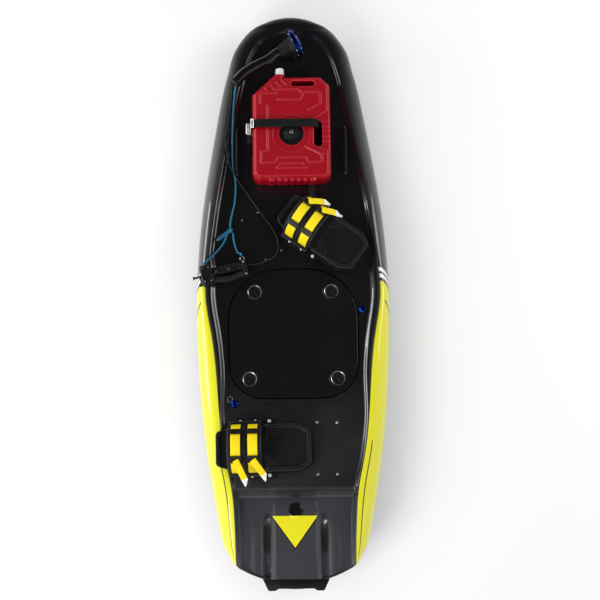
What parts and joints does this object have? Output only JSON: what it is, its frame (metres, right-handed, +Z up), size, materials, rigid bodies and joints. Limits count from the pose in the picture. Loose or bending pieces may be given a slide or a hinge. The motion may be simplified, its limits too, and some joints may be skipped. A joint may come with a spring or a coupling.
{
  "type": "petrol jet surfboard",
  "caption": "Carbon board with a petrol jet pump, lift-off engine hatch, foot bindings, tow handle on cords and a strapped fuel can, lying deck up.",
  "frame": {"origin": "centre of the floor under the board, as it lies deck up on its two fins and the front of its bottom", "axes": "+X to starboard, +Y to the nose, +Z up; the board is pitched nose down by about 4.3 degrees because its fins hold the tail up"},
  "size_m": [0.6291, 1.862, 0.293],
  "materials": {
    "carbon": "clear-coated black carbon twill with lemon yellow side panels",
    "satin_black": "satin black moulded plastic",
    "black_rubber": "soft black rubber",
    "foam_pad": "matt dark grey moulded foam",
    "strap_yellow": "vivid yellow flexible strap with pale tips",
    "black_webbing": "black woven webbing",
    "can_red": "crimson moulded plastic, slightly waxy",
    "blue_anodised": "blue anodised and polished",
    "rope_blue": "bright blue braided cord",
    "bright_metal": "bright stainless steel",
    "pump_metal": "cast and machined aluminium",
    "engine_metal": "plain cast metal",
    "white_plastic": "white moulded plastic"
  },
  "bodies": {
    "board": {"arm_boot": "black_rubber", "arm_cuff": "satin_black", "arm_sleeve": "black_rubber", "binding_front_base": "satin_black", "binding_front_buckle_instep": "satin_black", "binding_front_buckle_toe": "satin_black", "binding_front_pad": "foam_pad", "binding_front_strap_instep": "strap_yellow", "binding_front_strap_toe": "strap_yellow", "binding_front_upper": "foam_pad", "binding_rear_base": "satin_black", "binding_rear_buckle_instep": "satin_black", "binding_rear_buckle_toe": "satin_black", "binding_rear_pad": "foam_pad", "binding_rear_strap_instep": "strap_yellow", "binding_rear_strap_toe": "strap_yellow", "binding_rear_upper": "foam_pad", "bridle_port": "rope_blue", "bridle_starboard": "rope_blue", "can_cap": "white_plastic", "can_knob": "satin_black", "can_mount": "satin_black", "can_strap": "black_webbing", "deck_moulding": "carbon", "deck_plug_left": "blue_anodised", "deck_plug_right": "blue_anodised", "engine_block": "engine_metal", "fin_port": "satin_black", "fin_starboard": "satin_black", "fuel_can": "can_red", "grab_rail_port": "black_rubber", "grab_rail_starboard": "black_rubber", "handle_bar": "satin_black", "handle_end": "satin_black", "handle_eyelet": "bright_metal", "handle_grip": "black_rubber", "hatch_seal": "black_rubber", "hull_moulding": "carbon", "intake_grate": "pump_metal", "lead_rope": "rope_blue", "nose_foot": "satin_black", "nose_hub": "blue_anodised", "nozzle_shroud": "satin_black", "pump_housing": "pump_metal", "rope_knot": "rope_blue", "stator": "pump_metal", "strap_buckle": "white_plastic", "tail_plug": "satin_black", "throttle_cable": "satin_black", "throttle_housing": "satin_black", "throttle_lever": "satin_black"},
    "hatch": {"hatch_lid": "carbon", "latch_1": "satin_black", "latch_2": "satin_black", "latch_3": "satin_black", "latch_4": "satin_black"},
    "rotor": {"impeller": "bright_metal", "drive_shaft": "bright_metal"}
  },
  "joints": [
    {"name": "hatch_lift", "type": "slide", "parent": "board", "child": "hatch", "axis": [0, 0.0765, 0.9971], "range_m": [0, 0.2]},
    {"name": "impeller_spin", "type": "hinge", "parent": "board", "child": "rotor", "pos_m": [0, -0.6891, 0.12013], "axis": [0, 0.9971, -0.0765], "continuous": true}
  ]
}
